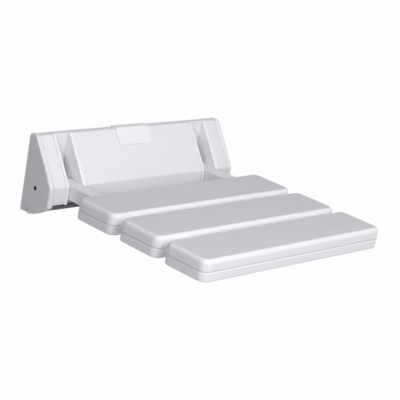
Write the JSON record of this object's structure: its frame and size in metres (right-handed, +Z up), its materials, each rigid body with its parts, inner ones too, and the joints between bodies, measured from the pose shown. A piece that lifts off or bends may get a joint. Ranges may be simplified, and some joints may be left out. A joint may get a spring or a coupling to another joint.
{
  "type": "fold down wall seat",
  "caption": "Fold-down wall seat: hollow moulded slats on tubular side arms, hinged at friction pivots inside a boxed wall bracket with bent covers and end caps.",
  "frame": {"origin": "on the wall plane, in the middle of the four wall screw holes", "axes": "+X across the seat, +Y into the wall, +Z up; the seat is folded down and reaches out along -Y"},
  "size_m": [0.396, 0.381, 0.1218],
  "materials": {
    "white_gloss": "smooth white moulding",
    "white_matt": "finely textured white moulding",
    "white_paint": "white powder coat",
    "bare_steel": "zinc plated",
    "cast_block": "white coated casting",
    "pad_rubber": "soft, dark grey",
    "nylon": "natural nylon",
    "plug_plastic": "black"
  },
  "bodies": {
    "wall_bracket": {"wall_plate": "white_paint", "left_cover": "white_gloss", "centre_cover": "white_gloss", "right_cover": "white_gloss", "top_tab": "white_gloss", "end_caps": "white_gloss", "recess_caps": "white_gloss", "ears": "bare_steel", "pivot_bolts": "bare_steel", "pivot_nuts": "bare_steel", "disc_springs": "bare_steel", "left_rest_pad": "pad_rubber", "right_rest_pad": "pad_rubber", "left_up_buffer": "pad_rubber", "right_up_buffer": "pad_rubber"},
    "seat": {"hinge_blocks": "cast_block", "bushes": "nylon", "left_arm": "white_paint", "right_arm": "white_paint", "left_arm_plug": "plug_plastic", "right_arm_plug": "plug_plastic", "slat_1_top": "white_matt", "slat_1_base": "white_matt", "slat_2_top": "white_matt", "slat_2_base": "white_matt", "slat_3_top": "white_matt", "slat_3_base": "white_matt"}
  },
  "joints": [
    {"name": "seat_fold", "type": "hinge", "parent": "wall_bracket", "child": "seat", "pos_m": [0, -0.0265, -0.0173], "axis": [-1, 0, 0], "range_deg": [0, 90]}
  ]
}
